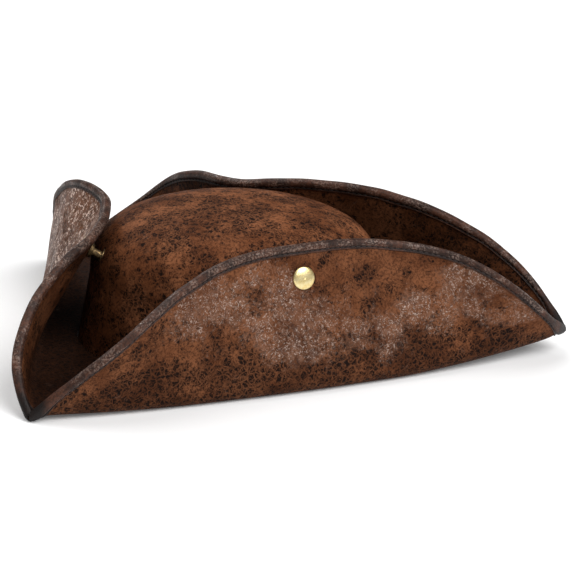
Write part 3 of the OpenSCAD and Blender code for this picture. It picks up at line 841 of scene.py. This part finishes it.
def close_top(obj, m, n):
    """Fills the small hole left in the middle of a dome, on both faces, instead of its rim. The
    dome is m columns of n points, once for each face."""
    work = bmesh.new()
    work.from_mesh(obj.data)
    work.verts.ensure_lookup_table()
    outer, inner = set(range(n - 1, m * n, n)), set(range(m * n + n - 1, 2 * m * n, n))
    joining = [f for f in work.faces
               if all(v.index in outer or v.index in inner for v in f.verts)]
    bmesh.ops.delete(work, geom=joining, context="FACES_ONLY")
    for numbers in (sorted(outer), sorted(inner)):
        bmesh.ops.contextual_create(work, geom=[work.verts[i] for i in numbers])
    bmesh.ops.recalc_face_normals(work, faces=work.faces)
    for f in work.faces:
        f.smooth = True
    work.to_mesh(obj.data)
    work.free()


def crown(leather, felt, lining):
    """Cover, stiffener and gathered lining of the crown, one inside the other."""
    cover = dome("crown_leather", 0, COVER, leather, "crown_cover")
    depth = COVER + GLUE
    stiff = dome("crown_felt", depth, depth + STIFFENER, felt, "crown_stiffener",
                 around=96)
    inside = dome("crown_lining_cloth", LINING_DEPTH, LINING_DEPTH + LINING, lining,
                  "crown_lining", base=0.6, crease=0.5)


def sweatband(material, thread):
    """Band inside the crown with rounded edges, and the row of stitches along its lower edge."""
    turn = np.linspace(0, 2 * math.pi, 200, endpoint=False)
    section = [(0.0, BAND_LOW), (0.0, BAND_HIGH), (0.15, BAND_HIGH + 0.15),
               (BAND - 0.15, BAND_HIGH + 0.1), (BAND, BAND_HIGH - 0.25), (BAND, 20.0),
               (BAND - 0.05, 6.0), (BAND - 0.45, BAND_SEAM), (BAND, 3.0),
               (BAND, BAND_LOW + 0.25),
               (BAND - 0.15, BAND_LOW), (0.0, BAND_LOW)]
    grid = np.zeros((len(turn), len(section), 3))
    for k, (inset, z) in enumerate(section):
        inset = BAND_DEPTH + inset + CROWN_TAPER * z
        grid[:, k] = np.stack([(CROWN_LENGTH - inset) * np.cos(turn),
                               (CROWN_WIDTH - inset) * np.sin(turn), turn * 0 + z], -1)
    obj = mesh("sweatband_band", grid, quads(len(turn), len(section), around=True))
    clean(obj)
    dress(obj, material, "sweatband")
    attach(obj, "hat")
    length = math.pi * (CROWN_LENGTH + CROWN_WIDTH - 2 * BAND_DEPTH) * MM
    inset = BAND_DEPTH + BAND - 0.15 + CROWN_TAPER * BAND_SEAM
    count = int(length / MM // STITCH_PITCH)
    turn = np.linspace(0, 2 * math.pi, count, endpoint=False)
    step = turn[1] * STITCH_LENGTH / STITCH_PITCH

    def on_band(a):
        return np.stack([(CROWN_LENGTH - inset) * np.cos(a), (CROWN_WIDTH - inset) * np.sin(a),
                         a * 0 + BAND_SEAM], -1)
    inward = -np.stack([np.cos(turn), np.sin(turn), turn * 0], -1)
    stitches = stitch_rows("sweatband_stitches", on_band(turn), on_band(turn + step), inward)
    dress(stitches, thread, "sweatband_thread")
    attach(stitches, "hat")


def floor_layer(name, low, high, material, node):
    """One layer of the flat brim, from the crown's opening out to the three creases."""
    outline = []
    for flap in FLAPS:
        s = flap.stations(121)
        outline.append(flap.at(s, 0.0, 0.0)[:, :2])
    outline = np.concatenate(outline)
    opening = outline / np.hypot(outline[:, 0] / (CROWN_LENGTH + OPENING_GAP),
                                 outline[:, 1] / (CROWN_WIDTH + OPENING_GAP))[:, None]
    t = np.array([0, 0.1, 0.25, 0.4, 0.55, 0.7, 0.82, 0.9, 0.95, 0.98, 1.0])[None, :, None]
    flat = opening[:, None] * (1 - t) + outline[:, None] * t
    lift = brim_rise(flat[..., 0], flat[..., 1])
    top = np.concatenate([flat, (lift + high)[..., None]], -1)
    bottom = np.concatenate([flat, (lift + low)[..., None]], -1)
    # the floor lies at the foot of the sheet, so its leather takes the full painted crease shade
    obj = shell(name, top, bottom, around=True, wear=0.0)
    clean(obj)
    dress(obj, material, node)
    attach(obj, "hat")
    return obj


def brim_floor(leather, felt):
    """Both covers of the flat brim, and the felt between them."""
    top = floor_layer("brim_top_leather", 2 * HALF - COVER, 2 * HALF, leather,
                      "brim_top_cover")
    core = floor_layer("brim_felt", COVER + GLUE, COVER + GLUE + CORE, felt, "brim_core")
    under = floor_layer("brim_under_leather", 0, COVER, leather, "brim_under_cover")


# ---- scene ----
def soft_sun(name, towards, spread, strength):
    """Even light from the side that towards points to, soft as from a large panel whose spread
    is in degrees."""
    data = bpy.data.lights.new(name, "SUN")
    data.angle, data.energy = math.radians(spread), strength
    lamp = bpy.data.objects.new(name, data)
    lamp.rotation_euler = (-Vector(towards)).to_track_quat("-Z", "Y").to_euler()
    bpy.context.scene.collection.objects.link(lamp)


FLOOR_GAP = 0.1                         # keeps the floor apart from the brim's underside
FLOOR_REACH = 6                         # metres from the middle to each side
FLOOR_GREY, FLOOR_WHITE = (0.86,) * 3, (0.90,) * 3
WORLD_LIGHT = 0.17


def studio():
    """Pale floor and plain soft light."""
    g = Graph("floor")
    where = g.add("ShaderNodeTexCoord").outputs["Object"]
    mottle = g.add("ShaderNodeTexNoise", {"Vector": where, "Scale": 6.0}).outputs[0]
    g.set(Base_Color=g.mix(mottle, FLOOR_GREY, FLOOR_WHITE), Roughness=0.9,
          Specular_IOR_Level=0.1, Emission_Color=(1.0, 1.0, 1.0), Emission_Strength=0.10)
    corners = np.array([[-1, -1, 0], [1, -1, 0], [1, 1, 0], [-1, 1, 0]])
    ground = mesh("floor", corners * FLOOR_REACH / MM - [0, 0, FLOOR_GAP], [[0, 1, 2, 3]])
    ground.data.materials.append(g.material)

    world = bpy.data.worlds.new("studio")
    bpy.context.scene.world = world
    world.use_nodes = True
    world.node_tree.nodes["Background"].inputs[0].default_value = (1, 1, 1, 1)
    world.node_tree.nodes["Background"].inputs[1].default_value = WORLD_LIGHT
    soft_sun("key", towards=(0.75, -0.75, 1.15), spread=45, strength=3.0)
    soft_sun("top", towards=(-0.55, 0.25, 1.3), spread=50, strength=1.2)
    soft_sun("rim", towards=(-0.5, 1.0, 0.7), spread=14, strength=0.5)
    bpy.context.scene.view_settings.view_transform = "Standard"


# The camera, found by fitting its view to the hat's outline
CAMERA_TARGET = Vector((36.38, -0.39, 39.48)) * MM
CAMERA_AZIMUTH, CAMERA_ELEVATION, CAMERA_ROLL = (math.radians(a) for a in (-0.621, 19.546, 1.881))
CAMERA_DISTANCE = 2.0
FRAME_WIDTH = 388.34 * MM               # what the frame spans at the target
SENSOR_WIDTH = 36


def camera():
    """The camera of the view, which turns about its line of sight by its roll."""
    az, el, roll = CAMERA_AZIMUTH, CAMERA_ELEVATION, CAMERA_ROLL
    ahead = Vector((-math.sin(az) * math.cos(el), math.cos(az) * math.cos(el), -math.sin(el)))
    right = Vector((math.cos(az), math.sin(az), 0))
    up = right.cross(ahead)
    x = right * math.cos(roll) + up * math.sin(roll)
    y = up * math.cos(roll) - right * math.sin(roll)
    data = bpy.data.cameras.new("camera")
    data.sensor_width = SENSOR_WIDTH
    data.lens = data.sensor_width * CAMERA_DISTANCE / FRAME_WIDTH
    data.clip_end = 50
    obj = bpy.data.objects.new("camera", data)
    turn = Matrix((x, y, -ahead)).transposed().to_4x4()
    obj.matrix_world = Matrix.Translation(CAMERA_TARGET - ahead * CAMERA_DISTANCE) @ turn
    bpy.context.scene.collection.objects.link(obj)
    bpy.context.scene.camera = obj


def build():
    """Every piece of the hat, in its material."""
    camera()
    studio()
    leather = leather_material("leather_flap", dark_share=0.8)
    crown_leather = leather_material("leather_crown", light=1.38, dark_share=1.15, scuffs_and_sheen=0.0)
    # the leather inside the brim: a darker copy as painted shade, which deepens towards the crease
    inner_leather = leather_material("leather_inside", light=0.85, dark_share=1.2, scuffs_and_sheen=0.0,
                                     crease_shade=0.7)
    trim, thread = binding_material(), thread_material()
    brass, shaded_brass = brass_material(), shaded_brass_material()
    felt = cloth_material("felt", (0.03, 0.027, 0.025), (0.10, 0.09, 0.085), 1.2, felted=True)
    lining = cloth_material("lining_cloth", (0.006, 0.005, 0.005), (0.028, 0.025, 0.024), 0.35,
                            rough=0.6)
    band = cloth_material("sweatband_cloth", (0.008, 0.007, 0.007), (0.03, 0.027, 0.026), 0.5)
    crown(crown_leather, felt, lining)
    sweatband(band, thread)
    brim_floor(inner_leather, felt)
    # the rear flap's outside: a paler copy as painted light, with more crazing and larger, brighter
    # speckles of painted highlight
    worn_and_lit_leather = leather_material("leather_worn_and_lit", light=1.15, dark_share=2.0, scuffs_and_sheen=1.0,
                                    coarse=2.0)
    for flap in FLAPS:
        outside = worn_and_lit_leather if flap is REAR else leather
        flap_layer(flap, "outer_cover", HALF - COVER, HALF, outside, 121)
        flap_layer(flap, "core", -CORE / 2, CORE / 2, felt, 61)
        flap_layer(flap, "inner_cover", -HALF, COVER - HALF, inner_leather, 121)
        binding(flap, trim)
        flap_stitches(flap, thread)
        snap_cap(flap, brass)
        snap_socket(flap, shaded_brass)
        stud(flap, shaded_brass)


build()
